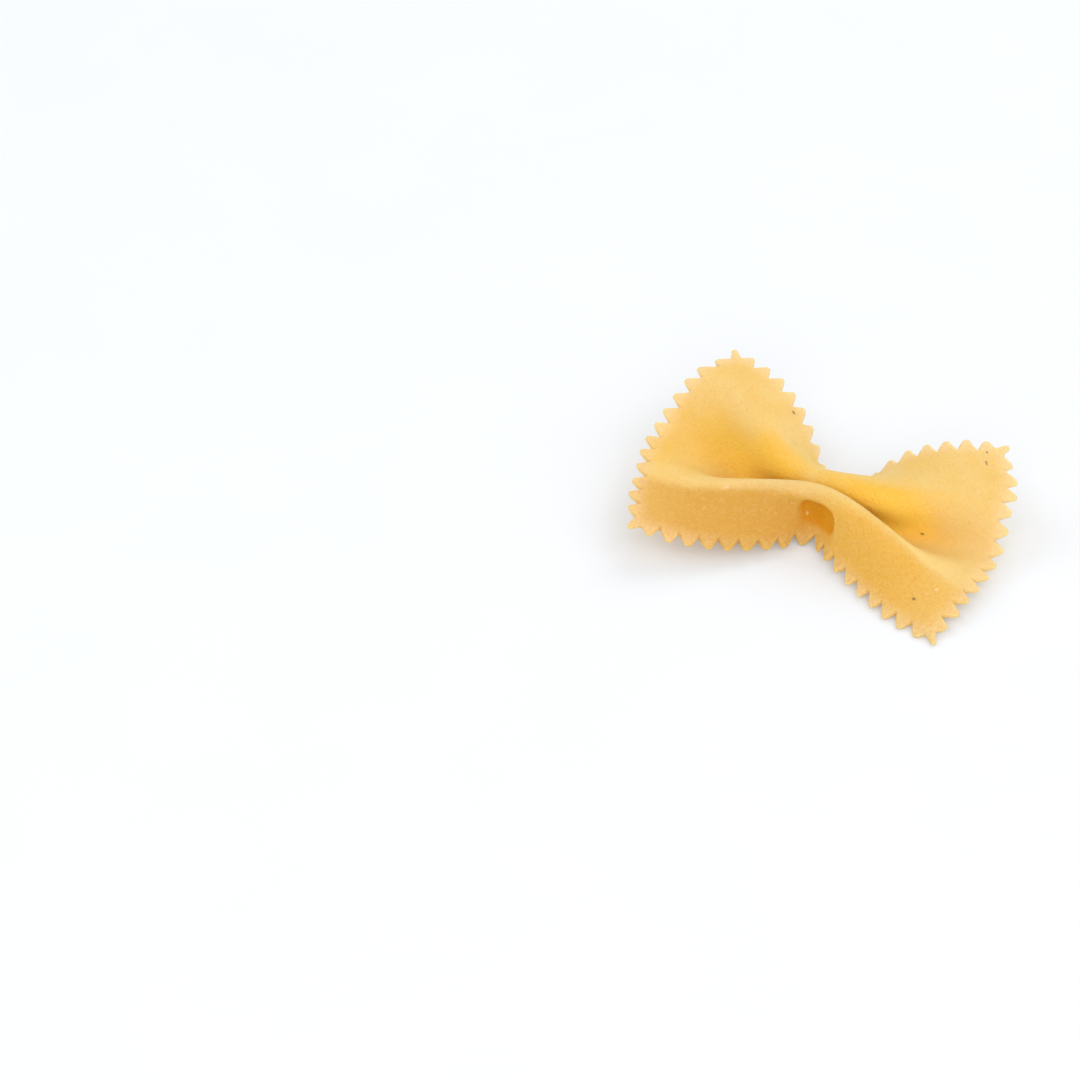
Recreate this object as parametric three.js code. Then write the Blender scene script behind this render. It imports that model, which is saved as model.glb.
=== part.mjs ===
// A farfalla: one rectangle of pasta dough with pinked edges, pinched at its
// middle into two ridges and a valley, its wings left to fan out.
// Millimetres, +Z up. The bow lies along X and rests on z = 0, the front
// edge towards -Y.
import * as THREE from "three";

// The flat sheet, before it is pinched.
const thickness = 1.05;
const rimThickness = 0.52;
const thinningBand = 1.2;
const pitchAlong = 2.35;
const pitchAcross = 2.315;
const teethAlong = 18;
const teethAcross = 12;
const toothHeight = 0.6;
const tipHalfWidth = 0.1;
const cornerReach = 0.67;
const cornerNotch = { along: 0.08, out: 0.28 };
const sheetSkew = -0.045;
const halfWidth = 15.4;

// Angles are degrees of the sheet's slope across the bow. A wall runs from
// the valley up to a ridge, and a flank from the ridge down to the edge. The
// ridge is placed as a share of the half width.
const knot = {
  front: { ridge: 0.44, wall: 100.3, flank: 90.7, flare: 1.172 },
  back: { ridge: 0.427, wall: 107.6, flank: 97.4, flare: 0.988 },
};
const leftWing = {
  front: { ridgeDrift: 0, wall: -13.8, flank: -18.8 },
  back: { ridgeDrift: 0.36, wall: 0.7, flank: -9.6 },
  wallReach: 15.9,
  flankReach: 8.19,
  tilt: -1.6,
  twist: 0.6,
  rise: 21.3,
};
const rightWing = {
  front: { ridgeDrift: 0.227, wall: -23, flank: -8.2 },
  back: { ridgeDrift: 0, wall: 4.2, flank: -14.4 },
  wallReach: 18.5,
  flankReach: 10.76,
  tilt: 31.1,
  twist: -29.1,
  rise: -6.7,
};
const wallFade = 2.31;
const flankFade = 1.06;
const pinchRadius = 1.5;
const wallStiffness = 0.9;
const tiltReach = 6;
const bendReach = 3.92;
const wingLength = 22;
const shearReach = 0.1506;
const dent = { depth: 0.5, reach: 2.18 };

// The front flank is tucked in under its ridge at the pinch, and its edge
// flares out again to the table.
const tuck = { reach: 4.2, ridgeShift: 0.063, stiffness: 0.28, flare: 0.706, angle: 21.8, toe: 45.2 };

// The tip of the pincher left a pocket in the tucked flank, crisp towards
// the ridge and soft towards the edge.
const pocket = {
  x: 1.25,
  y: -11.4,
  reachX: 2.75,
  reachY: 2.35,
  depth: 0.45,
  crisp: 0.17,
  soft: 0.85,
  crispWay: [0.5, 0.87],
};

// The tight fold squeezes the dough thinner on its inner side.
const squeeze = { depth: 0.17, reach: 2.6 };

// How the bow lies at rest.
const roll = 10.3;
const pitch = -4.6;

const lattice = { halfX: 24.6, halfY: 15.87, columns: 104, rows: 80 };
const columnsPerTooth = 2;
const rowsPerTooth = 3;
const extraPinchColumns = 2;

const radians = THREE.MathUtils.degToRad;
const clamp = THREE.MathUtils.clamp;

// 0 at the pinch, near 1 beyond the reach.
function settled(x, reach) {
  const t = x / reach;
  return (t * t) / (1 + t * t);
}

// Distance from the pinch, rounded off in the middle so the wings join smoothly.
function fromPinch(x) {
  return Math.hypot(x, pinchRadius) - pinchRadius;
}

// An angle that is full at the pinch and fades to its value at the wing's end.
function faded(atPinch, atEnd, x, reach, power) {
  return atEnd + (atPinch - atEnd) * Math.exp(-((fromPinch(x) / reach) ** power));
}

function eased(share) {
  return THREE.MathUtils.smoothstep(share, 0, 1);
}

// 0 to 1 and back, with a flatter top the stiffer the dough.
function stiffWave(share, stiffness) {
  return Math.tanh(stiffness * Math.sin(Math.PI * share)) / Math.tanh(stiffness);
}

// Full at the pinch, gone beyond the tuck's reach.
function tucked(x, widening) {
  return Math.exp(-((fromPinch(x) / (tuck.reach * widening)) ** 2));
}

function ridgeShare(side, x) {
  const wing = x < 0 ? leftWing : rightWing;
  const along = Math.min(fromPinch(x) / wingLength, 1);
  const share = knot[side].ridge + wing[side].ridgeDrift * along;
  return side === "front" ? share + tuck.ridgeShift * tucked(x, 1.6) : share;
}

// Slope of the sheet across the bow at the flat point (x, y), in radians.
function slope(x, y) {
  const wing = x < 0 ? leftWing : rightWing;
  const side = y < 0 ? "front" : "back";
  const share = Math.abs(y) / halfWidth;
  const ridge = ridgeShare(side, x);
  let fold;
  if (share < ridge) {
    const wall = faded(knot[side].wall, wing[side].wall, x, wing.wallReach, wallFade);
    const tight = side === "front" ? tuck.stiffness * tucked(x, 1.6) : 0;
    fold = wall * stiffWave(share / ridge, wallStiffness + tight);
  } else {
    const flank = faded(knot[side].flank, wing[side].flank, x, wing.flankReach, flankFade);
    const down = Math.min((share - ridge) / (1 - ridge), 1.2);
    let bend = flank * Math.sin(Math.PI * down * knot[side].flare);
    if (side === "front") {
      let press = flank * stiffWave(down * tuck.flare, 3);
      press += tuck.angle * Math.exp(-(((down - 0.14) / 0.09) ** 2));
      press -= tuck.toe * eased((down - 0.3) / 0.6);
      bend += (press - bend) * tucked(x, 1);
    }
    fold = -bend;
  }
  const lean = wing.tilt * settled(x, tiltReach) + wing.twist * (fromPinch(x) / wingLength);
  return radians((side === "front" ? -fold : fold) + lean);
}

// Running sum of f by the trapezium rule, zero at the middle sample.
function runningSum(samples, step) {
  const sums = [0];
  for (let k = 1; k < samples.length; k++) {
    sums.push(sums[k - 1] + ((samples[k - 1] + samples[k]) / 2) * step);
  }
  const middle = sums[(samples.length - 1) / 2];
  return sums.map((s) => s - middle);
}

const average = (list) => list.reduce((a, b) => a + b, 0) / list.length;
const spread = (half, steps) =>
  Array.from({ length: steps + 1 }, (_, k) => -half + (2 * half * k) / steps);

// Cross sections of the bow: how far back and how high each flat point lies.
const flatX = spread(lattice.halfX, lattice.columns);
const flatY = spread(lattice.halfY, lattice.rows);
const stepX = flatX[1] - flatX[0];
const stepY = flatY[1] - flatY[0];
const sections = flatX.map((x) => {
  const slopes = flatY.map((y) => slope(x, y));
  const across = runningSum(slopes.map(Math.cos), stepY);
  const height = runningSum(slopes.map(Math.sin), stepY);
  const midAcross = average(across);
  const midHeight = average(height);
  return {
    across: across.map((q) => q - midAcross),
    height: height.map((z) => z - midHeight),
  };
});

// The dough hardly stretches, so where a lengthwise line closes in on the
// pinch it covers less ground along the bow. It hardly shears either, so
// neighbouring lines share what they lose.
const centre = lattice.columns / 2;
const advance = flatY.map((_, j) => {
  const covered = [0];
  for (let i = 1; i <= lattice.columns; i++) {
    const sideways = (sections[i].across[j] - sections[i - 1].across[j]) / stepX;
    const upwards = (sections[i].height[j] - sections[i - 1].height[j]) / stepX;
    const forward = Math.sqrt(Math.max(1 - sideways ** 2 - upwards ** 2, 0.04));
    covered.push(covered[i - 1] + forward * stepX);
  }
  return covered.map((d) => d - covered[centre]);
});
const sharing = flatY.map((y) => {
  const shares = flatY.map((other) =>
    Math.exp(-(((y - other) / (shearReach * halfWidth)) ** 2)));
  const whole = average(shares) * shares.length;
  return shares.map((share) => share / whole);
});
const alongBow = flatX.map((_, i) =>
  sharing.map((shares) =>
    shares.reduce((sum, share, k) => sum + share * advance[k][i], 0)));

// The line that the sections ride on: each wing rises or dips from the pinch.
const spineX = spread(30, 240);
const spineRise = spineX.map((x) =>
  radians(x < 0 ? -leftWing.rise : rightWing.rise) * settled(x, bendReach));
const spineStep = spineX[1] - spineX[0];
const spineAlong = runningSum(spineRise.map(Math.cos), spineStep);
const spineUp = runningSum(spineRise.map(Math.sin), spineStep);

function onSpine(values, x) {
  const place = clamp((x - spineX[0]) / spineStep, 0, spineX.length - 1.001);
  const k = Math.floor(place);
  return THREE.MathUtils.lerp(values[k], values[k + 1], place - k);
}

const rest = new THREE.Matrix4().makeRotationFromEuler(
  new THREE.Euler(radians(roll), radians(pitch), 0, "ZYX"));

let middle = flatX.map((_, i) =>
  flatY.map((__, j) => {
    const x = alongBow[i][j];
    const rise = onSpine(spineRise, x);
    const height = sections[i].height[j];
    return new THREE.Vector3(
      onSpine(spineAlong, x) - height * Math.sin(rise),
      sections[i].across[j],
      onSpine(spineUp, x) + height * Math.cos(rise));
  }));

function latticeNormals(points) {
  const last = { i: points.length - 1, j: points[0].length - 1 };
  return points.map((column, i) =>
    column.map((_, j) => {
      const alongX = points[Math.min(i + 1, last.i)][j].clone()
        .sub(points[Math.max(i - 1, 0)][j]);
      const alongY = points[i][Math.min(j + 1, last.j)].clone()
        .sub(points[i][Math.max(j - 1, 0)]);
      return alongX.cross(alongY).normalize();
    }));
}

// Both flanks are pressed in where the fingers closed the bow.
const beforeDent = latticeNormals(middle);
middle = middle.map((column, i) =>
  column.map((point, j) => {
    const side = flatY[j] < 0 ? "front" : "back";
    const ridge = knot[side].ridge;
    const down = clamp((Math.abs(flatY[j]) / halfWidth - ridge) / (1 - ridge), 0, 1);
    const pressed = dent.depth * Math.exp(-((flatX[i] / dent.reach) ** 2))
      * Math.sin(Math.PI * down);
    return point.clone().addScaledVector(beforeDent[i][j], -pressed).applyMatrix4(rest);
  }));
const upward = latticeNormals(middle);

// Value of a lattice of vectors at the flat point (x, y).
function sample(field, x, y) {
  const placeX = clamp((x + lattice.halfX) / stepX, 0, lattice.columns - 0.001);
  const placeY = clamp((y + lattice.halfY) / stepY, 0, lattice.rows - 0.001);
  const i = Math.floor(placeX);
  const j = Math.floor(placeY);
  const near = field[i][j].clone().lerp(field[i + 1][j], placeX - i);
  const far = field[i][j + 1].clone().lerp(field[i + 1][j + 1], placeX - i);
  return near.lerp(far, placeY - j);
}

// How deep the pocket is at the flat point (x, y).
function pocketDepth(x, y) {
  const awayX = (x - pocket.x) / pocket.reachX;
  const awayY = (y - pocket.y) / pocket.reachY;
  const away = (Math.abs(awayX) ** 2.4 + Math.abs(awayY) ** 2.4) ** (1 / 2.4);
  const toCrisp = awayX * pocket.crispWay[0] + awayY * pocket.crispWay[1];
  const crispness = eased(0.5 + (0.9 * toCrisp) / Math.max(Math.hypot(awayX, awayY), 0.3));
  const edge = THREE.MathUtils.lerp(pocket.soft, pocket.crisp, crispness);
  return pocket.depth * eased((1 + edge / 2 - away) / edge);
}

// Mesh points, held as flat positions counted in tooth pitches.
const points = [];
const triangles = [];
function addPoint(u, v) {
  points.push([u, v]);
  return points.length - 1;
}

// Grid lines sit on every notch, with more of them across the pinch.
function gridLines(teeth, perTooth, extra) {
  const lines = [];
  for (let k = 0; k < teeth; k++) {
    const start = k - teeth / 2;
    const parts = Math.abs(start + 0.5) < 1 ? perTooth + extra : perTooth;
    for (let s = 0; s < parts; s++) {
      lines.push(start + s / parts);
    }
  }
  lines.push(teeth / 2);
  return lines;
}
const gridU = gridLines(teethAlong, columnsPerTooth, extraPinchColumns);
const gridV = gridLines(teethAcross, rowsPerTooth, 0);
const grid = gridU.map((u) => gridV.map((v) => addPoint(u, v)));
for (let i = 1; i < gridU.length; i++) {
  for (let j = 1; j < gridV.length; j++) {
    const [a, b, c, d] = [grid[i - 1][j - 1], grid[i][j - 1], grid[i][j], grid[i - 1][j]];
    if (gridU[i] > 0 === gridV[j] > 0) {
      triangles.push([a, b, c], [a, c, d]);
    } else {
      triangles.push([a, b, d], [b, c, d]);
    }
  }
}

// The four edges in turn, anticlockwise, each with its row of grid points.
const lastI = gridU.length - 1;
const lastJ = gridV.length - 1;
const edges = [
  { row: grid.map((column) => column[0]), along: [1, 0], teeth: teethAlong },
  { row: grid[lastI], along: [0, 1], teeth: teethAcross },
  { row: grid.map((column) => column[lastJ]).reverse(), along: [-1, 0], teeth: teethAlong },
  { row: [...grid[0]].reverse(), along: [0, -1], teeth: teethAcross },
];

// A point given from an edge's own corner: along the edge, and out from it.
function addBeside(edge, along, out) {
  const [ax, ay] = edge.along;
  const [u, v] = points[edge.row[0]];
  return addPoint(u + ax * along + ay * out, v + ay * along - ax * out);
}

for (const edge of edges) {
  edge.tips = [];
  for (let k = 0; k < edge.teeth; k++) {
    const before = addBeside(edge, k + 0.5 - tipHalfWidth, toothHeight);
    const after = addBeside(edge, k + 0.5 + tipHalfWidth, toothHeight);
    edge.tips.push([before, after]);
    const base = edge.row.filter((p) => {
      const [u, v] = points[p];
      const [u0, v0] = points[edge.row[0]];
      const distance = Math.abs(u - u0) + Math.abs(v - v0);
      return distance > k - 1e-6 && distance < k + 1 + 1e-6;
    });
    const half = Math.floor(base.length / 2);
    for (let s = 1; s < base.length; s++) {
      triangles.push([base[s - 1], s <= half ? before : after, base[s]]);
    }
    triangles.push([base[half], before, after]);
  }
}

// Each corner tooth points outwards along the diagonal.
edges.forEach((edge, k) => {
  const next = edges[(k + 1) % edges.length];
  const corner = next.row[0];
  const far = edge.teeth;
  const ring = [
    edge.tips[edge.teeth - 1][1],
    addBeside(edge, far - cornerNotch.along, cornerNotch.out),
    addBeside(edge, far + cornerReach - tipHalfWidth, cornerReach),
    addBeside(edge, far + cornerReach, cornerReach - tipHalfWidth),
    addBeside(edge, far + cornerNotch.out, -cornerNotch.along),
    next.tips[0][0],
  ];
  for (let s = 1; s < ring.length; s++) {
    triangles.push([corner, ring[s - 1], ring[s]]);
  }
});

// Thicken: a top face, a bottom face split alike, and a wall round the rim,
// where the cutter pressed the dough thin.
const top = [];
const bottom = [];
for (const [u, v] of points) {
  const y = v * pitchAcross;
  const x = u * pitchAlong + sheetSkew * y;
  const place = sample(middle, x, y);
  const normal = sample(upward, x, y).normalize();
  const outwards = Math.max(Math.abs(u) - teethAlong / 2, Math.abs(v) - teethAcross / 2);
  const inner = clamp((toothHeight - outwards) / thinningBand, 0, 1);
  const half = THREE.MathUtils.lerp(rimThickness, thickness, Math.sqrt(inner)) / 2;
  top.push(place.clone().addScaledVector(normal, half - pocketDepth(x, y)));
  const squeezed = squeeze.depth * Math.exp(-((x / squeeze.reach) ** 2));
  bottom.push(place.clone().addScaledVector(normal, squeezed - half));
}
const count = points.length;
const faces = [];
const edgeUses = new Set();
for (const [a, b, c] of triangles) {
  faces.push([a, b, c], [a + count, c + count, b + count]);
  edgeUses.add(`${a} ${b}`).add(`${b} ${c}`).add(`${c} ${a}`);
}
for (const use of edgeUses) {
  const [a, b] = use.split(" ").map(Number);
  if (!edgeUses.has(`${b} ${a}`)) {
    faces.push([a, a + count, b + count], [a, b + count, b]);
  }
}

// Stand the lowest point on the table, with the bow's middle over the origin.
const corners = [...top, ...bottom];
const box = new THREE.Box3().setFromPoints(corners);
const middleOfBox = box.getCenter(new THREE.Vector3());
const toTable = new THREE.Vector3(-middleOfBox.x, -middleOfBox.y, -box.min.z);
corners.forEach((p) => p.add(toTable));

const geometry = new THREE.BufferGeometry().setFromPoints(corners);
geometry.setIndex(faces.flat());
geometry.computeVertexNormals();

const farfalla = new THREE.Mesh(
  geometry,
  new THREE.MeshStandardMaterial({ color: "#f0bd66", roughness: 0.75, metalness: 0 }));
farfalla.name = "farfalla";

const group = new THREE.Group();
group.name = "farfalle_pasta";
group.add(farfalla);

export default group;
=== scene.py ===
import math
import random

import bmesh
import bpy
import numpy as np
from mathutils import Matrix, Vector
from mathutils.kdtree import KDTree


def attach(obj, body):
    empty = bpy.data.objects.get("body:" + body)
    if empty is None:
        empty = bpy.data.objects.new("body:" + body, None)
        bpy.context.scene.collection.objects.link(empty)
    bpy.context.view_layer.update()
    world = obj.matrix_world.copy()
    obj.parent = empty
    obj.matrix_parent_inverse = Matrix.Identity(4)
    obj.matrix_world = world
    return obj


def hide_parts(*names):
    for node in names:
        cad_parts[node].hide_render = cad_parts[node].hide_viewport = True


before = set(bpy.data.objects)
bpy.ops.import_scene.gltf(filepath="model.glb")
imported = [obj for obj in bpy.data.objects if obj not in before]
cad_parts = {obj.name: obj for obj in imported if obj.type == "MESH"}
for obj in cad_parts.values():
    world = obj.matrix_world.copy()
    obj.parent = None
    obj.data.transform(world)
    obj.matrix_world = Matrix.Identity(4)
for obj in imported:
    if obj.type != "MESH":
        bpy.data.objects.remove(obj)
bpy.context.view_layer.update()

bpy.ops.object.select_all(action="DESELECT")
mm = 0.001
print("frame loaded")


# flat dough, before it is pinched
sheet = {
    "thickness": 1.05,           # mm, in the middle of the sheet
    "rimThickness": 0.42,        # mm, where the wheel pressed it thin
    "thinningBand": 1.2,         # tooth pitches over which it thins
    "noseReach": 0.34,           # mm in from the cut over which the rim rounds off
    "noseShare": 0.42,           # share of the thickness left at the cut
    "pitchAlong": 2.35,
    "pitchAcross": 2.315,
    "teethAlong": 18,
    "teethAcross": 12,
    "toothHeight": 0.63,         # this and the rest in tooth pitches
    "tipHalfWidth": 0.12,
    "toothNudge": 0.025,         # how unevenly the wheel ran
    "cornerReach": 0.71,
    "cornerTipShare": 0.7,       # width of a corner's tip, as a share of a tooth's
    "cornerNotchAlong": 0.08,
    "cornerNotchOut": 0.26,
    "notchSharpness": 0.45,
    "cutsPerTooth": 2,
    "finerLevels": 2,
    "seed": 7,
}
pitch = Vector((sheet["pitchAlong"] * mm, sheet["pitchAcross"] * mm, 0))
halfSheet = Vector((pitch.x * sheet["teethAlong"] / 2, pitch.y * sheet["teethAcross"] / 2, 0))
near = 0.02 * mm
chance = random.Random(sheet["seed"])


def selectWhere(kind, test):
    # in edit mode, picks the vertices or edges whose place passes the test
    shape = bmesh.from_edit_mesh(bpy.context.object.data)
    for item in [*shape.faces, *shape.edges, *shape.verts]:
        item.select_set(False)
    for item in shape.verts if kind == "VERT" else shape.edges:
        place = item.co if kind == "VERT" else (item.verts[0].co + item.verts[1].co) / 2
        if test(place):
            item.select_set(True)
    bpy.context.tool_settings.mesh_select_mode = (kind == "VERT", kind == "EDGE", False)
    bmesh.update_edit_mesh(bpy.context.object.data)


def isAt(*places):
    return lambda spot: any((spot - place).length < near for place in places)


def drawTooth(middleOfBase, outwards, along):
    # one tooth: the border edge is drawn out and its new edge narrowed to the tip
    selectWhere("EDGE", isAt(middleOfBase))
    bpy.ops.mesh.extrude_edges_indiv()
    reach = sheet["toothHeight"] + chance.uniform(-1, 1) * sheet["toothNudge"]
    move = Vector(a * b * reach for a, b in zip(outwards, pitch))
    bpy.ops.transform.translate(value=move)
    narrow = Vector((1, 1, 1)) - (1 - 2 * sheet["tipHalfWidth"]) * along
    bpy.ops.transform.resize(value=narrow, center_override=middleOfBase + move)
    nudge = Vector(a * b * chance.uniform(-1, 1) * sheet["toothNudge"] for a, b in zip(along, pitch))
    bpy.ops.transform.translate(value=nudge)
    return move + nudge


def drawCorner(wayX, wayY):
    # a corner tooth points outwards along the diagonal
    corner = Vector((wayX * halfSheet.x, wayY * halfSheet.y, 0))
    blunt = sheet["cornerReach"] - 2 * sheet["tipHalfWidth"] * sheet["cornerTipShare"]
    spots = [
        (-sheet["cornerNotchAlong"], sheet["cornerNotchOut"]),
        (blunt, sheet["cornerReach"]),
        (sheet["cornerReach"], blunt),
        (sheet["cornerNotchOut"], -sheet["cornerNotchAlong"]),
    ]
    places = []
    for outX, outY in spots:
        move = Vector((wayX * outX * pitch.x, wayY * outY * pitch.y, 0))
        selectWhere("VERT", isAt(corner))
        bpy.ops.mesh.extrude_verts_indiv()
        bpy.ops.transform.translate(value=move)
        places.append(corner + move)
    besideX = corner + Vector((-wayX * pitch.x / 2, 0, 0)) + tipMoves[(wayX, wayY, "along")]
    besideX.x += wayX * sheet["tipHalfWidth"] * pitch.x
    besideY = corner + Vector((0, -wayY * pitch.y / 2, 0)) + tipMoves[(wayX, wayY, "across")]
    besideY.y += wayY * sheet["tipHalfWidth"] * pitch.y
    ring = [besideX, *places, besideY]
    for one, other in zip(ring, ring[1:]):
        selectWhere("VERT", isAt(corner, one, other))
        bpy.ops.mesh.edge_face_add()


bpy.ops.mesh.primitive_grid_add(x_subdivisions=sheet["teethAlong"], y_subdivisions=sheet["teethAcross"],
                                size=2, location=(0, 0, 0))
farfalla = bpy.context.object
farfalla.name = "farfallaDough"
farfalla.data.name = "farfallaDough"
bpy.ops.object.mode_set(mode="EDIT")
bpy.ops.mesh.select_all(action="SELECT")
bpy.ops.transform.resize(value=(halfSheet.x, halfSheet.y, 1))

tipMoves = {}
for way in (-1, 1):
    for tooth in range(sheet["teethAlong"]):
        base = Vector(((tooth + 0.5) * pitch.x - halfSheet.x, way * halfSheet.y, 0))
        moved = drawTooth(base, Vector((0, way, 0)), Vector((1, 0, 0)))
        if tooth in (0, sheet["teethAlong"] - 1):
            tipMoves[(-1 if tooth == 0 else 1, way, "along")] = moved
    for tooth in range(sheet["teethAcross"]):
        base = Vector((way * halfSheet.x, (tooth + 0.5) * pitch.y - halfSheet.y, 0))
        moved = drawTooth(base, Vector((way, 0, 0)), Vector((0, 1, 0)))
        if tooth in (0, sheet["teethAcross"] - 1):
            tipMoves[(way, -1 if tooth == 0 else 1, "across")] = moved
for wayX in (-1, 1):
    for wayY in (-1, 1):
        drawCorner(wayX, wayY)


def isNotch(spot):
    onLong = abs(abs(spot.y) - halfSheet.y) < near and abs(spot.x) < halfSheet.x - near
    onShort = abs(abs(spot.x) - halfSheet.x) < near and abs(spot.y) < halfSheet.y - near
    return onLong or onShort


selectWhere("VERT", isNotch)
bpy.ops.transform.vert_crease(value=sheet["notchSharpness"])
bpy.ops.mesh.select_all(action="SELECT")
bpy.ops.mesh.subdivide(number_cuts=sheet["cutsPerTooth"])
bpy.ops.mesh.normals_make_consistent(inside=False)
bpy.ops.object.mode_set(mode="OBJECT")
if sum(face.normal.z for face in farfalla.data.polygons) < 0:
    farfalla.data.flip_normals()
print("sheet cut,", len(farfalla.data.polygons), "faces")


def finish(piece, kind, **settings):
    # adds one modifier and applies it
    modifier = piece.modifiers.new(kind.title(), kind)
    for name, value in settings.items():
        setattr(modifier, name, value)
    bpy.context.view_layer.objects.active = piece
    bpy.ops.object.modifier_apply(modifier=modifier.name)


finish(farfalla, "SUBSURF", subdivision_type="CATMULL_CLARK", levels=sheet["finerLevels"],
       render_levels=sheet["finerLevels"])


def placesOf(piece):
    flat = np.empty(len(piece.data.vertices) * 3)
    piece.data.vertices.foreach_get("co", flat)
    return flat.reshape(-1, 3)


def cutDistance(piece):
    # how far each vertex lies in from the cut, in mm
    shape = bmesh.new()
    shape.from_mesh(piece.data)
    border = [v.co.copy() for v in shape.verts if v.is_boundary]
    tree = KDTree(len(border))
    for k, place in enumerate(border):
        tree.insert(place, k)
    tree.balance()
    distances = np.array([tree.find(v.co)[2] for v in shape.verts]) / mm
    shape.free()
    return distances


def pastNotches(places):
    # tooth pitches out from the line of the notches, below 0 inside it
    return np.maximum(np.abs(places[:, 0]) / pitch.x - sheet["teethAlong"] / 2,
                      np.abs(places[:, 1]) / pitch.y - sheet["teethAcross"] / 2)


inner = (sheet["toothHeight"] - pastNotches(placesOf(farfalla))) / sheet["thinningBand"]
inner = np.clip(inner, 0, 1)
rolled = sheet["rimThickness"] + (sheet["thickness"] - sheet["rimThickness"]) * inner * (2 - inner)
nose = np.clip(1 - cutDistance(farfalla) / sheet["noseReach"], 0, 1)
nose = np.sqrt(1 - (1 - sheet["noseShare"] ** 2) * nose ** 2)
share = rolled * nose / sheet["thickness"]

farfalla.vertex_groups.new(name="thickness")
for k, weight in enumerate(share):
    farfalla.vertex_groups["thickness"].add([k], float(weight), "REPLACE")
finish(farfalla, "SOLIDIFY", thickness=sheet["thickness"] * mm, offset=0, vertex_group="thickness",
       thickness_vertex_group=0, use_rim=True)
farfalla.vertex_groups.clear()
print("sheet thickened,", len(farfalla.data.polygons), "faces")


# where each point of the flat sheet goes when it is pinched, in mm and degrees
bow = {
    "halfWidth": 15.4,
    "skew": -0.045,              # how askew the sheet lay under the pinch
    "knot": {"front": {"ridge": 0.44, "wall": 100.3, "flank": 90.7, "flare": 1.172},
             "back": {"ridge": 0.427, "wall": 107.6, "flank": 97.4, "flare": 0.988}},
    "left": {"front": {"drift": 0, "wall": -13.8, "flank": -18.8},
             "back": {"drift": 0.36, "wall": 0.7, "flank": -9.6},
             "wallReach": 15.9, "flankReach": 8.19, "tilt": -1.6, "twist": 0.6, "rise": -21.3},
    "right": {"front": {"drift": 0.227, "wall": -23, "flank": -8.2},
              "back": {"drift": 0, "wall": 4.2, "flank": -14.4},
              "wallReach": 18.5, "flankReach": 10.76, "tilt": 31.1, "twist": -29.1, "rise": -6.7},
    "tuck": {"reach": 4.2, "widening": 1.6, "ridgeShift": 0.063, "stiffness": 0.28,
             "flare": 0.706, "pressStiffness": 3, "angle": 21.8, "bulge": (0.14, 0.09),
             "toe": 45.2, "toeSpan": (0.3, 0.6)},
    "wallFade": 2.31,
    "flankFade": 1.06,
    "pinchRadius": 1.5,
    "wallStiffness": 0.9,
    "tiltReach": 6,
    "bendReach": 3.92,
    "spineReach": 30,
    "spineSteps": 240,
    "wingLength": 22,
    "shearReach": 0.1506,        # half widths over which rows share their advance
    "leastAdvance": 0.04,        # squared, so that a row never stands still
    "dentDepth": 0.5,
    "dentReach": 2.18,
    "pocket": {"middle": (1.25, -11.4), "reach": (2.75, 2.35), "squareness": 3, "depth": 0.45,
               "crisp": 0.17, "soft": 0.85, "crispWay": (0.28, 0.96), "crispTurn": 0.9,
               "lip": 0.12, "lipPlace": 0.16, "lipWidth": 0.14},
    "squeeze": {"depth": 0.17, "reach": 2.6},
    "roll": 10.3,
    "pitch": -4.6,
    "stand": (-0.17785, 0.598, 3.74457),
    "halfX": 24.6,               # lattice that holds the folded sheet
    "halfY": 15.87,
    "columns": 416,
    "rows": 320,
}


def settled(x, reach):
    # 0 at the pinch, near 1 beyond the reach
    t = x / reach
    return t * t / (1 + t * t)


def eased(part):
    part = np.clip(part, 0, 1)
    return part * part * (3 - 2 * part)


def fromPinch(x):
    return np.hypot(x, bow["pinchRadius"]) - bow["pinchRadius"]


def faded(atPinch, atEnd, x, reach, power):
    return atEnd + (atPinch - atEnd) * np.exp(-((fromPinch(x) / reach) ** power))


def stiffWave(part, stiffness):
    # 0 to 1 and back, with a flatter top the stiffer the dough
    return np.tanh(stiffness * np.sin(np.pi * part)) / np.tanh(stiffness)


def tucked(x, widening=1):
    return np.exp(-(fromPinch(x) / (bow["tuck"]["reach"] * widening)) ** 2)


def ridgeShare(wing, side, x):
    along = np.minimum(fromPinch(x) / bow["wingLength"], 1)
    share = bow["knot"][side]["ridge"] + bow[wing][side]["drift"] * along
    if side == "front":
        share = share + bow["tuck"]["ridgeShift"] * tucked(x, bow["tuck"]["widening"])
    return share


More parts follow.
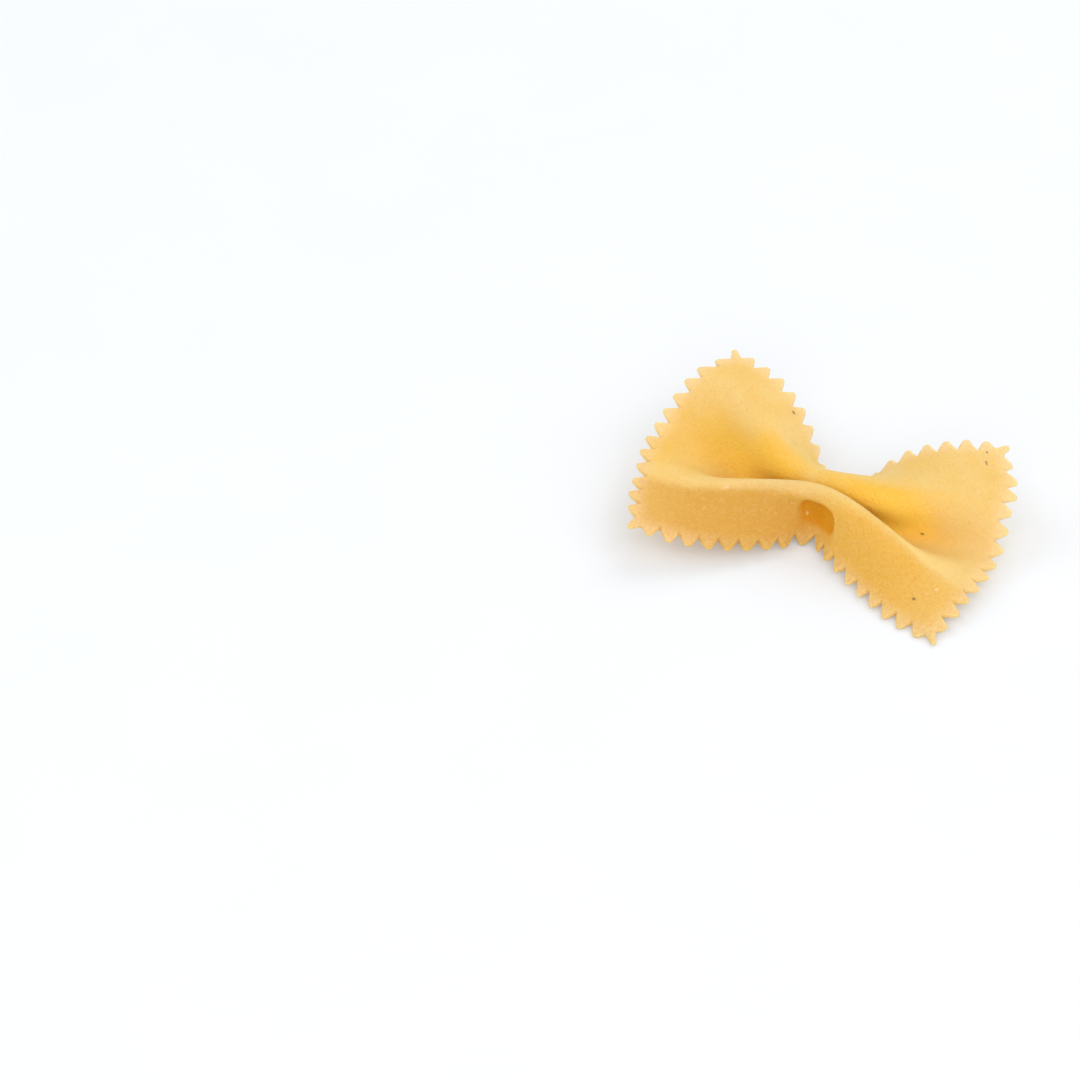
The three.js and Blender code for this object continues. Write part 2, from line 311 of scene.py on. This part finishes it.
def slopeOver(alongX, acrossY):
    # slope of the sheet across the bow, in radians, over a whole lattice
    slopes = np.zeros((len(alongX), len(acrossY)))
    for wing, columns in (("left", alongX < 0), ("right", alongX >= 0)):
        for side, rows in (("front", acrossY < 0), ("back", acrossY >= 0)):
            x = alongX[columns][:, None]
            part = np.abs(acrossY[rows])[None, :] / bow["halfWidth"]
            knot, edge = bow["knot"][side], bow[wing][side]
            ridge = ridgeShare(wing, side, x)
            wall = faded(knot["wall"], edge["wall"], x, bow[wing]["wallReach"], bow["wallFade"])
            flank = faded(knot["flank"], edge["flank"], x, bow[wing]["flankReach"], bow["flankFade"])
            down = np.clip((part - ridge) / (1 - ridge), 0, 1.2)
            stiffness = bow["wallStiffness"]
            bend = flank * np.sin(np.pi * down * knot["flare"])
            if side == "front":
                tuck = bow["tuck"]
                stiffness = stiffness + tuck["stiffness"] * tucked(x, tuck["widening"])
                press = flank * stiffWave(down * tuck["flare"], tuck["pressStiffness"])
                press = press + tuck["angle"] * np.exp(-((down - tuck["bulge"][0]) / tuck["bulge"][1]) ** 2)
                press = press - tuck["toe"] * eased((down - tuck["toeSpan"][0]) / tuck["toeSpan"][1])
                bend = bend + (press - bend) * tucked(x)
            fold = np.where(part < ridge, wall * stiffWave(np.clip(part / ridge, 0, 1), stiffness), -bend)
            lean = (bow[wing]["tilt"] * settled(x, bow["tiltReach"])
                    + bow[wing]["twist"] * fromPinch(x) / bow["wingLength"])
            slopes[np.ix_(columns, rows)] = (-fold if side == "front" else fold) + lean
    return np.radians(slopes)


def runningSum(samples, step):
    # trapezium rule along the last axis, zero at the middle sample
    steps = (samples[..., 1:] + samples[..., :-1]) / 2 * step
    sums = np.concatenate([np.zeros_like(samples[..., :1]), np.cumsum(steps, axis=-1)], axis=-1)
    middle = (samples.shape[-1] - 1) // 2
    return sums - sums[..., middle:middle + 1]


def normalsOf(lattice):
    alongX, alongY = np.gradient(lattice, axis=0), np.gradient(lattice, axis=1)
    normals = np.cross(alongX, alongY)
    return normals / np.linalg.norm(normals, axis=-1, keepdims=True)


flatX = np.linspace(-bow["halfX"], bow["halfX"], bow["columns"] + 1)
flatY = np.linspace(-bow["halfY"], bow["halfY"], bow["rows"] + 1)
stepX, stepY = flatX[1] - flatX[0], flatY[1] - flatY[0]
slopes = slopeOver(flatX, flatY)
across = runningSum(np.cos(slopes), stepY)
height = runningSum(np.sin(slopes), stepY)
across -= across.mean(axis=1, keepdims=True)
height -= height.mean(axis=1, keepdims=True)

# dough hardly stretches: a line that closes in on the pinch covers less ground along the bow
sideways, upwards = np.diff(across, axis=0) / stepX, np.diff(height, axis=0) / stepX
forward = np.sqrt(np.maximum(1 - sideways ** 2 - upwards ** 2, bow["leastAdvance"])) * stepX
advance = np.concatenate([np.zeros((1, len(flatY))), np.cumsum(forward, axis=0)])
advance -= advance[bow["columns"] // 2]
gaps = (flatY[:, None] - flatY[None, :]) / (bow["shearReach"] * bow["halfWidth"])
sharing = np.exp(-gaps ** 2)
alongBow = advance @ (sharing / sharing.sum(axis=1, keepdims=True)).T

spineX = np.linspace(-bow["spineReach"], bow["spineReach"], bow["spineSteps"] + 1)
spineRise = np.radians(np.where(spineX < 0, bow["left"]["rise"], bow["right"]["rise"]))
spineRise = spineRise * settled(spineX, bow["bendReach"])
spineAlong = runningSum(np.cos(spineRise), spineX[1] - spineX[0])
spineUp = runningSum(np.sin(spineRise), spineX[1] - spineX[0])
rise = np.interp(alongBow, spineX, spineRise)
middle = np.stack([np.interp(alongBow, spineX, spineAlong) - height * np.sin(rise), across,
                   np.interp(alongBow, spineX, spineUp) + height * np.cos(rise)], axis=-1)

# both flanks are pressed in where the fingers closed the bow
ridges = np.where(flatY < 0, bow["knot"]["front"]["ridge"], bow["knot"]["back"]["ridge"])
down = np.clip((np.abs(flatY) / bow["halfWidth"] - ridges) / (1 - ridges), 0, 1)
dent = bow["dentDepth"] * np.exp(-(flatX[:, None] / bow["dentReach"]) ** 2) * np.sin(np.pi * down)
middle = middle - normalsOf(middle) * dent[..., None]

roll, tip = math.radians(bow["roll"]), math.radians(bow["pitch"])
rollTurn = np.array([[1, 0, 0],
                     [0, math.cos(roll), -math.sin(roll)],
                     [0, math.sin(roll), math.cos(roll)]])
tipTurn = np.array([[math.cos(tip), 0, math.sin(tip)],
                    [0, 1, 0],
                    [-math.sin(tip), 0, math.cos(tip)]])
middle = middle @ (tipTurn @ rollTurn).T + np.array(bow["stand"])
upward = normalsOf(middle)


def sample(lattice, x, y):
    # value of a lattice at flat points, in mm
    placeX = np.clip((x + bow["halfX"]) / stepX, 0, bow["columns"] - 0.001)
    placeY = np.clip((y + bow["halfY"]) / stepY, 0, bow["rows"] - 0.001)
    i, j = placeX.astype(int), placeY.astype(int)
    s, t = (placeX - i)[:, None], (placeY - j)[:, None]
    nearRow = lattice[i, j] * (1 - s) + lattice[i + 1, j] * s
    farRow = lattice[i, j + 1] * (1 - s) + lattice[i + 1, j + 1] * s
    return nearRow * (1 - t) + farRow * t


def pocketPress(x, y):
    # how deep the pinching tool sank into the front flank, crisp towards one side
    pocket = bow["pocket"]
    awayX = (x - pocket["middle"][0]) / pocket["reach"][0]
    awayY = (y - pocket["middle"][1]) / pocket["reach"][1]
    power = pocket["squareness"]
    away = (np.abs(awayX) ** power + np.abs(awayY) ** power) ** (1 / power)
    toCrisp = awayX * pocket["crispWay"][0] + awayY * pocket["crispWay"][1]
    toCrisp = toCrisp / np.maximum(np.hypot(awayX, awayY), 0.3)
    crispness = eased(0.5 + pocket["crispTurn"] * toCrisp)
    edge = pocket["soft"] + (pocket["crisp"] - pocket["soft"]) * crispness
    sunk = eased((1 + edge / 2 - away) / edge)
    lip = np.exp(-((away - 1 - pocket["lipPlace"]) / pocket["lipWidth"]) ** 2) * crispness
    return pocket["depth"] * sunk - pocket["lip"] * lip, sunk


def hollowness(reach):
    # mm by which the sheet's surroundings rise above each point of it
    wide = middle
    for axis, step in ((0, stepX), (1, stepY)):
        half = int(round(reach / step))
        padded = np.concatenate([wide.take([0], axis).repeat(half + 1, axis), wide,
                                 wide.take([-1], axis).repeat(half, axis)], axis=axis)
        sums = np.cumsum(padded, axis=axis)
        size = wide.shape[axis]
        wide = (sums.take(range(2 * half + 1, 2 * half + 1 + size), axis)
                - sums.take(range(size), axis)) / (2 * half + 1)
    return ((wide - middle) * upward).sum(axis=-1, keepdims=True)


# pressed into the flat sheet, in mm, so that it follows the dough
relief = {
    "waves": {"size": 7, "depth": 0.16},      # slow unevenness of the rolled sheet
    "dimples": {"size": 1.6, "depth": 0.035},
    "grain": {"size": 0.42, "depth": 0.05},   # coarse semolina
    "hollowReach": 2.4,                       # how far round a point its hollow is felt
    "pocketOpening": (-14.6, 2.8),            # where the pocket's painted shade runs out, and over what
    "creases": {"places": (-8.9, -6.7, -4.4), "width": 0.42, "depth": 0.075, "lean": 0.12,
                "middleY": -11, "top": (-8.2, 1.8), "bottom": (-14.6, 1.6)},   # ends, and how soft
}


def addRelief(piece, name, direction):
    cloud = bpy.data.textures.new(name, "CLOUDS")
    cloud.noise_scale = relief[name]["size"] * mm
    cloud.noise_depth = 2
    cloud.noise_basis = "IMPROVED_PERLIN"
    finish(piece, "DISPLACE", texture=cloud, texture_coords="LOCAL", direction=direction,
           strength=relief[name]["depth"] * mm, mid_level=0.5)


flat = placesOf(farfalla)
addRelief(farfalla, "waves", "Z")
addRelief(farfalla, "dimples", "NORMAL")
addRelief(farfalla, "grain", "NORMAL")
pressed = placesOf(farfalla) / mm

x = pressed[:, 0] + bow["skew"] * pressed[:, 1]
y = pressed[:, 1]
place = sample(middle, x, y)
normal = sample(upward, x, y)
normal /= np.linalg.norm(normal, axis=1, keepdims=True)
onTop = np.clip(flat[:, 2] / (sheet["thickness"] / 2 * mm), -1, 1)
topShare, underShare = np.clip(onTop, 0, 1), np.clip(-onTop, 0, 1)
depth, sunk = pocketPress(x, y)
pressed[:, 2] -= depth * topShare

# faint folds down the front flank, beside the pinch
creases = relief["creases"]
(top, topSpan), (bottom, bottomSpan) = creases["top"], creases["bottom"]
onCrease = eased((top - y) / topSpan) * eased((y - bottom) / bottomSpan)
for spot in creases["places"]:
    furrow = np.exp(-((x - spot - creases["lean"] * (y - creases["middleY"])) / creases["width"]) ** 2)
    pressed[:, 2] -= creases["depth"] * furrow * onCrease * onTop

# the inner side is squeezed thinner where the walls meet
squeezed = np.exp(-(x / bow["squeeze"]["reach"]) ** 2)
pressed[:, 2] += bow["squeeze"]["depth"] * squeezed * underShare
formed = (place + normal * pressed[:, 2:3]) * mm
formed[:, 2] -= formed[:, 2].min()
farfalla.data.vertices.foreach_set("co", formed.ravel())
farfalla.data.update()


def paint(piece, name, values):
    # a number or place per vertex for the material to read
    kind = "FLOAT_VECTOR" if values.ndim == 2 else "FLOAT"
    layer = piece.data.attributes.new(name, kind, "POINT")
    layer.data.foreach_set("vector" if values.ndim == 2 else "value", values.ravel())


paint(farfalla, "towardsTip", np.clip(pastNotches(flat) / sheet["toothHeight"], -1, 1.2))
flat = flat / mm
flatPlace = np.stack([flat[:, 0] + bow["skew"] * flat[:, 1], flat[:, 1], flat[:, 2]], axis=1)
paint(farfalla, "flatPlace", flatPlace)
side = np.where(flatPlace[:, 1] < 0, "front", "back")
crest = np.zeros(len(flatPlace))
for wing, inWing in (("left", flatPlace[:, 0] < 0), ("right", flatPlace[:, 0] >= 0)):
    for part in ("front", "back"):
        here = inWing & (side == part)
        # in front the painted flank shade and crest highlight follow the straight ridge of the left wing on
        # both sides
        follows = "left" if part == "front" else wing
        crest[here] = (np.abs(flatPlace[here, 1]) / bow["halfWidth"]
                       - ridgeShare(follows, part, flatPlace[here, 0]))
paint(farfalla, "fromRidge", crest)
# how hollow each point lies, which sets the painted shade and light in the folds
paint(farfalla, "hollow", sample(hollowness(relief["hollowReach"]), x, y)[:, 0] * np.sign(onTop))
openEnd, openSpan = relief["pocketOpening"]
# where the pocket's painted shade goes
paint(farfalla, "pocket", sunk * topShare * eased((y - openEnd) / openSpan))

bpy.ops.object.select_all(action="DESELECT")
farfalla.select_set(True)
bpy.context.view_layer.objects.active = farfalla
bpy.ops.object.mode_set(mode="EDIT")
bpy.ops.mesh.select_all(action="SELECT")
bpy.ops.mesh.normals_make_consistent(inside=False)
bpy.ops.object.mode_set(mode="OBJECT")
bpy.ops.object.shade_smooth()
print("bow formed,", len(farfalla.data.polygons), "faces")


class Shade:
    # a socket of a material; sums and products of shades add their own nodes
    def __init__(self, tree, socket=None):
        self.tree = tree
        self.socket = socket

    def node(self, kind, settings=None, inputs=None, output=0):
        made = self.tree.nodes.new(kind)
        for name, value in (settings or {}).items():
            setattr(made, name, value)
        for name, value in (inputs or {}).items():
            if isinstance(value, Shade):
                self.tree.links.new(value.socket, made.inputs[name])
            else:
                made.inputs[name].default_value = value
        return Shade(self.tree, made.outputs[output] if made.outputs else None)

    def maths(self, operation, *values):
        return self.node("ShaderNodeMath", {"operation": operation}, dict(enumerate(values)))

    def __add__(self, other):
        return self.maths("ADD", self, other)

    def __radd__(self, other):
        return self.maths("ADD", other, self)

    def __sub__(self, other):
        return self.maths("SUBTRACT", self, other)

    def __rsub__(self, other):
        return self.maths("SUBTRACT", other, self)

    def __mul__(self, other):
        return self.maths("MULTIPLY", self, other)

    def __rmul__(self, other):
        return self.maths("MULTIPLY", other, self)

    def band(self, low, high, toLow=0.0, toHigh=1.0):
        # eases from toLow to toHigh as the value goes from low to high
        return self.node("ShaderNodeMapRange", {"interpolation_type": "SMOOTHSTEP"}, {
            "Value": self, "From Min": low, "From Max": high, "To Min": toLow, "To Max": toHigh})

    def noise(self, place, size, detail=2.0, roughness=0.5):
        # cloudy noise whose patches are about size across
        return self.node("ShaderNodeTexNoise", {},
                         {"Vector": place, "Scale": 1 / size, "Detail": detail, "Roughness": roughness})

    def blend(self, amount, under, over):
        return self.node("ShaderNodeMix", {"data_type": "RGBA"}, {0: amount, 6: under, 7: over}, output=2)


def newMaterial(name):
    material = bpy.data.materials.new(name)
    material.use_nodes = True
    material.node_tree.nodes.clear()
    return material, Shade(material.node_tree)


dough = {
    "pale": (0.81, 0.57, 0.205, 1),
    "golden": (0.79, 0.53, 0.15, 1),
    # painted shade down the front flank, darker on the left
    "flankShadeLeft": (0.66, 0.34, 0.046, 1),
    "flankShadeRight": (0.76, 0.425, 0.06, 1),
    "flankEdge": (-0.02, 0.1),               # from the ridge, in half widths
    "flankReach": (32.0, 13.0),              # mm along the bow, from none of it to all of it
    # painted shade in the folds, and painted light deep in the hollows
    "foldShadeLeft": (0.79, 0.50, 0.065, 1),
    "foldShadeRight": (0.84, 0.49, 0.04, 1),
    "deepFoldLight": (0.98, 0.665, 0.075, 1),
    "deepFoldLightReach": (13.0, 8.0),
    # painted shade in the pinched pocket
    "pocket": (0.70, 0.285, 0.002, 1),
    # painted highlight along the ridge crests
    "crest": (0.82, 0.56, 0.24, 1),
    "crestHighlightWidth": (0.065, 0.02),
    "crestHighlightReach": (16.0, 8.0),
    "tip": (0.86, 0.63, 0.34, 1),
    "shadedTip": (0.65, 0.41, 0.13, 1),
    "fleck": (0.88, 0.68, 0.34, 1),
    "scatter": 0.7,
    "scatterScale": 0.0012,
    "scatterRadius": (1.0, 0.8, 0.35),
    "grainBump": 0.0002,
    "cloudSize": 6.0,                        # mm, and the next three
    "mottleSize": 1.1,
    "grainSize": 0.32,
    "dustSize": 0.55,
    "cloudDrift": 4.0,                       # mm by which the clouds shift a border
    # ovals on the flat sheet, each a middle and half sizes in mm
    # painted shade: saturated gold behind the ridges, fainter towards the ends
    "valleyShades": {"amount": 0.88, "ovals": [((-7.0, 6.0), (6.0, 4.8)), ((-12.5, 3.8), (8.0, 4.3)),
                                          ((6.5, 4.2), (8.7, 5.4))]},
    "valleyEndShades": {"amount": 0.4, "ovals": [((-18.0, -1.0), (7.0, 4.5))]},
    # painted light: brighter ovals on the walls of the folds
    "paintedLights": [
        {"colour": (0.99, 0.69, 0.115, 1), "amount": 0.9, "ovals": [((8.6, 2.6), (5.8, 3.8))],
         "cloudiness": 0.5, "fade": (1.25, 0.3)},
        {"colour": (0.99, 0.69, 0.115, 1), "amount": 0.35, "ovals": [((-8.5, 4.0), (5.0, 3.2))],
         "cloudiness": 0.5, "fade": (1.3, 0.3)},
        {"colour": (0.93, 0.68, 0.24, 1), "amount": 0.8, "ovals": [((14.0, -4.6), (5.5, 3.0))],
         "cloudiness": 1.0, "fade": (1.3, 0.35)},
    ],
    "flecks": [
        {"colour": (0.88, 0.68, 0.34, 1), "amount": 0.5,
         "ovals": [((-0.59, -11.6), (0.16, 0.26)), ((-11.12, -7.34), (0.35, 0.2)),
                   ((19.16, -3.07), (0.32, 0.3)), ((19.28, -9.13), (0.3, 0.26)),
                   ((-1.7, -7.0), (0.2, 0.18))]},
        {"colour": (0.62, 0.47, 0.22, 1), "amount": 0.4,
         "ovals": [((-6.98, 10.32), (0.75, 0.4)), ((4.4, 12.3), (0.3, 0.2))]},
        {"colour": (0.28, 0.15, 0.05, 1), "amount": 0.8,    # bran
         "ovals": [((-11.47, 13.3), (0.28, 0.2)), ((-14.1, -4.1), (0.22, 0.2)),
                   ((12.3, 1.49), (0.3, 0.26)), ((19.16, 13.5), (0.14, 0.2)),
                   ((18.69, 11.9), (0.12, 0.42)), ((17.86, -11.5), (0.24, 0.22))]},
    ],
    "valleyFade": (1.3, 0.35),               # where an oval starts and is full, in half sizes
    "fleckFade": (1.15, 0.6),
}


def farFrom(shade, flatSpot, x, y, halfX, halfY):
    # 0 in the middle of an oval on the flat sheet, 1 at its edge
    away = shade.node("ShaderNodeVectorMath", {"operation": "SUBTRACT"}, {0: flatSpot, 1: (x, y, 0.5)})
    shrink = (1 / halfX, 1 / halfY, 1)
    away = shade.node("ShaderNodeVectorMath", {"operation": "MULTIPLY"}, {0: away, 1: shrink})
    return shade.node("ShaderNodeVectorMath", {"operation": "LENGTH"}, {0: away}, output=1)


def inOvals(shade, flatSpot, ovals, ragged, fade):
    # 1 inside any of the ovals and 0 outside them, with a ragged edge
    total = None
    for (x, y), (halfX, halfY) in ovals:
        inside = (farFrom(shade, flatSpot, x, y, halfX, halfY) + ragged).band(*fade)
        total = inside if total is None else total.maths("MAXIMUM", total, inside)
    return total


def makeDough():
    material, shade = newMaterial("semolinaDough")
    place = shade.node("ShaderNodeTexCoord", output=3)
    flatSpot = shade.node("ShaderNodeAttribute", {"attribute_name": "flatPlace"}, output=1)
    tipwards = shade.node("ShaderNodeAttribute", {"attribute_name": "towardsTip"}, output=2)
    fromRidge = shade.node("ShaderNodeAttribute", {"attribute_name": "fromRidge"}, output=2)
    hollow = shade.node("ShaderNodeAttribute", {"attribute_name": "hollow"}, output=2)
    pocket = shade.node("ShaderNodeAttribute", {"attribute_name": "pocket"}, output=2)
    alongX = shade.node("ShaderNodeSeparateXYZ", {}, {0: flatSpot})
    atFront = shade.node("ShaderNodeSeparateXYZ", {}, {0: flatSpot}, output=1).band(1.0, -1.0)
    onTop = shade.node("ShaderNodeSeparateXYZ", {}, {0: flatSpot}, output=2).band(-0.15, 0.15)

    clouds = shade.noise(place, dough["cloudSize"] * mm, 3.0)
    mottle = shade.noise(place, dough["mottleSize"] * mm, 3.0, 0.6)
    grain = shade.noise(place, dough["grainSize"] * mm, 2.0, 0.6)
    away = alongX.maths("ABSOLUTE", alongX + (clouds - 0.5) * dough["cloudDrift"])
    cloudy = (clouds - 0.5) * 0.3 + (mottle - 0.5) * 0.1

    colour = shade.blend(clouds.band(0.35, 0.65), dough["golden"], dough["pale"])
    colour = shade.blend(mottle.band(0.4, 0.75) * 0.3, colour, dough["pale"])

    # painted shade in the folds, a saturated gold; deep in the hollows, where little light gets in, painted
    # light makes it deeper and brighter
    foldShadeAndLight = shade.blend(alongX.band(-14.0, -6.0), dough["foldShadeLeft"], dough["foldShadeRight"])
    # painted light: brighter deep in the hollows
    deep = hollow.band(-0.1, 0.35) * away.band(*dough["deepFoldLightReach"])
    foldShadeAndLight = shade.blend(deep, foldShadeAndLight, dough["deepFoldLight"])
    inFold = onTop * fromRidge.band(0.1, 0.0)
    for fold in (dough["valleyShades"], dough["valleyEndShades"]):
        inside = inOvals(shade, flatSpot, fold["ovals"], cloudy, dough["valleyFade"])
        colour = shade.blend(inside * inFold * fold["amount"], colour, foldShadeAndLight)
    # painted light on the walls of the folds
    for paintedLight in dough["paintedLights"]:
        inside = inOvals(shade, flatSpot, paintedLight["ovals"], cloudy * paintedLight["cloudiness"], paintedLight["fade"])
        colour = shade.blend(inside * onTop * paintedLight["amount"], colour, paintedLight["colour"])

    # painted shade: deeper gold down the front flank
    flank = shade.blend(alongX.band(-5.0, 6.0), dough["flankShadeLeft"], dough["flankShadeRight"])
    onShadedFlank = (fromRidge + (mottle - 0.5) * 0.06).band(*dough["flankEdge"])
    onShadedFlank = onShadedFlank * away.band(*dough["flankReach"]) * atFront
    colour = shade.blend(onShadedFlank * 0.9, colour, flank)
    # painted shade in hollows off the flank
    colour = shade.blend(hollow.band(0.3, 0.75) * (1 - onShadedFlank) * 0.2, colour, foldShadeAndLight)

    # teeth, rolled thin and dry, with painted shade on the front teeth
    shaded = alongX.band(9.0, 3.0) * alongX.band(-18.0, -9.0) * 0.7 + 0.3
    tip = shade.blend(atFront * shaded, dough["tip"], dough["shadedTip"])
    colour = shade.blend(tipwards.band(-0.8, 0.7) * 0.72, colour, tip)

    # painted highlight along the crest of each ridge, dusted with paler semolina
    crest = fromRidge.maths("ABSOLUTE", fromRidge).band(*dough["crestHighlightWidth"])
    crest = crest * away.band(*dough["crestHighlightReach"])
    crest = crest * alongX.band(4.5, -1.0) * (atFront * 0.7 + 0.3)
    colour = shade.blend(crest * 0.5, colour, dough["crest"])
    dust = shade.noise(place, dough["dustSize"] * mm, 3.0, 0.7).band(0.6, 0.68)
    colour = shade.blend(dust * (crest * 0.3 + 0.06), colour, dough["fleck"])

    # semolina grain, and the pocket's painted shade
    colour = shade.blend(grain.band(0.5, 0.75) * (onShadedFlank * 0.14 + 0.1), colour, dough["fleck"])
    colour = shade.blend(grain.band(0.5, 0.3) * (onShadedFlank * 0.3 + 0.16), colour, dough["flankShadeLeft"])
    colour = shade.blend(pocket.band(0.3, 0.95) * 0.95, colour, dough["pocket"])

    for fleck in dough["flecks"]:
        inside = inOvals(shade, flatSpot, fleck["ovals"], (mottle - 0.5) * 0.9, dough["fleckFade"])
        colour = shade.blend(inside * fleck["amount"], colour, fleck["colour"])

    roughness = mottle.band(0.3, 0.7, 0.58, 0.72)
    bumped = shade.node("ShaderNodeBump", {}, {
        "Strength": 0.75, "Distance": dough["grainBump"], "Height": grain})
    surface = shade.node("ShaderNodeBsdfPrincipled", {"subsurface_method": "RANDOM_WALK"}, {
        "Base Color": colour, "Roughness": roughness, "Normal": bumped, "IOR": 1.45,
        "Specular IOR Level": 0.3, "Subsurface Weight": dough["scatter"],
        "Subsurface Scale": dough["scatterScale"], "Subsurface Radius": dough["scatterRadius"]})
    shade.node("ShaderNodeOutputMaterial", {}, {"Surface": surface})
    return material


farfalla.data.materials.clear()
farfalla.data.materials.append(makeDough())
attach(farfalla, "root")
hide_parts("farfalla")
print("dough finished")


# table, light and camera
studio = {
    "floorRadius": 2.5,          # m
    "floorColour": (0.665, 0.685, 0.71, 1),
    "floorSpeckle": (0.69, 0.71, 0.73, 1),
    "speckleSize": 20,           # mm
    "speckleAmount": 0.3,
    "floorGlow": 0.19,
    "skyColour": (1.0, 1.0, 1.0, 1),
    "skyStrength": 0.45,
    "cameraPlace": (0.151083, -0.363215, 0.299489),     # m
    "elevation": 37.518,         # degrees
    "azimuth": 27.359,
    "lens": 140.25,
    "sensor": 36,
    "nearest": 0.05,
}

bpy.ops.mesh.primitive_circle_add(vertices=128, radius=studio["floorRadius"], fill_type="NGON",
                                  location=(0, 0, 0))
floor = bpy.context.object
floor.name = "tableTop"
material, shade = newMaterial("paleTable")
place = shade.node("ShaderNodeTexCoord", output=3)
speckle = shade.noise(place, studio["speckleSize"] * mm)
colour = shade.blend(speckle.band(0.3, 0.7) * studio["speckleAmount"],
                     studio["floorColour"], studio["floorSpeckle"])
surface = shade.node("ShaderNodeBsdfPrincipled", {}, {
    "Base Color": colour, "Roughness": 0.8, "Specular IOR Level": 0.1,
    "Emission Color": (1, 1, 1, 1), "Emission Strength": studio["floorGlow"]})
shade.node("ShaderNodeOutputMaterial", {}, {"Surface": surface})
floor.data.materials.append(material)

world = bpy.data.worlds.new("studioSky")
bpy.context.scene.world = world
world.use_nodes = True
world.node_tree.nodes.clear()
sky = Shade(world.node_tree)
sky.node("ShaderNodeOutputWorld", {}, {"Surface": sky.node(
    "ShaderNodeBackground", {}, {"Color": studio["skyColour"], "Strength": studio["skyStrength"]})})

lamps = {
    "frontSoftbox": {"place": (0.30, -0.70, 0.58), "size": 0.8, "power": 4.7},
    "leftSoftbox": {"place": (-0.70, -0.25, 0.62), "size": 0.8, "power": 2.4},
    "rightSoftbox": {"place": (0.75, -0.05, 0.60), "size": 0.8, "power": 2.4},
    "backSoftbox": {"place": (0.0, 0.75, 0.60), "size": 0.8, "power": 3.8},
}
for name, lamp in lamps.items():
    aim = (-Vector(lamp["place"])).to_track_quat("-Z", "Y").to_euler()
    bpy.ops.object.light_add(type="AREA", radius=1, location=lamp["place"], rotation=aim)
    light = bpy.context.object
    light.name = name
    light.data.shape = "SQUARE"
    light.data.size = lamp["size"]
    light.data.energy = lamp["power"]

turn = (math.radians(90 - studio["elevation"]), 0, math.radians(studio["azimuth"]))
bpy.ops.object.camera_add(location=studio["cameraPlace"], rotation=turn)
camera = bpy.context.object
camera.data.lens = studio["lens"]
camera.data.sensor_width = studio["sensor"]
camera.data.clip_start = studio["nearest"]
bpy.context.scene.camera = camera
bpy.context.scene.view_settings.view_transform = "Standard"
print("studio ready")
